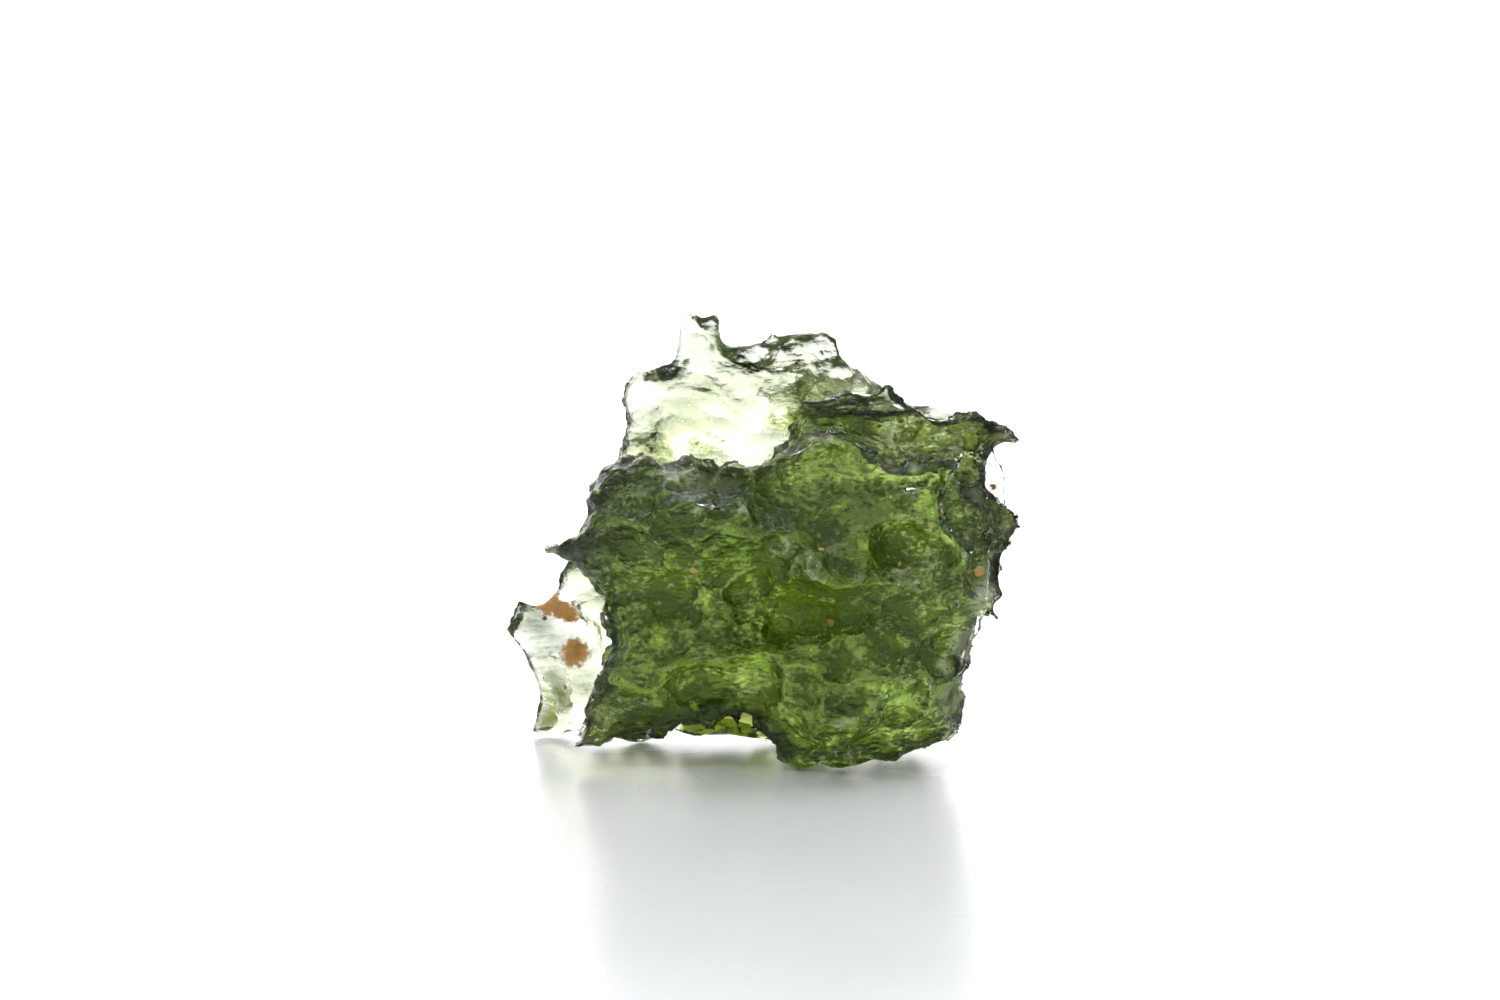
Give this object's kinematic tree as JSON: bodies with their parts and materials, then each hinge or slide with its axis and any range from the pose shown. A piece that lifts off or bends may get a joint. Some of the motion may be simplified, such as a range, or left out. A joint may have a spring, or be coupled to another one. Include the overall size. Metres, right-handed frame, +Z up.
{
  "type": "moldavite",
  "caption": "Rough moldavite: a pitted, sharp-edged lump of green natural glass, thick in front with a thin plate behind, standing on flats of its lower edge.",
  "frame": {"origin": "middle of the stone's box, on the surface that it rests on", "axes": "+X along the stone's broad face, +Y away from the face in the picture, +Z up"},
  "size_m": [0.022, 0.0126, 0.0182],
  "materials": {
    "moldavite_glass": "natural bottle-green glass, clear in thin edges and near black where thick; finely pitted and lined surface, glossy on the ridges, frosted in the pits, with specks of orange clay"
  },
  "bodies": {
    "root": {"moldavite": "moldavite_glass"}
  },
  "joints": []
}
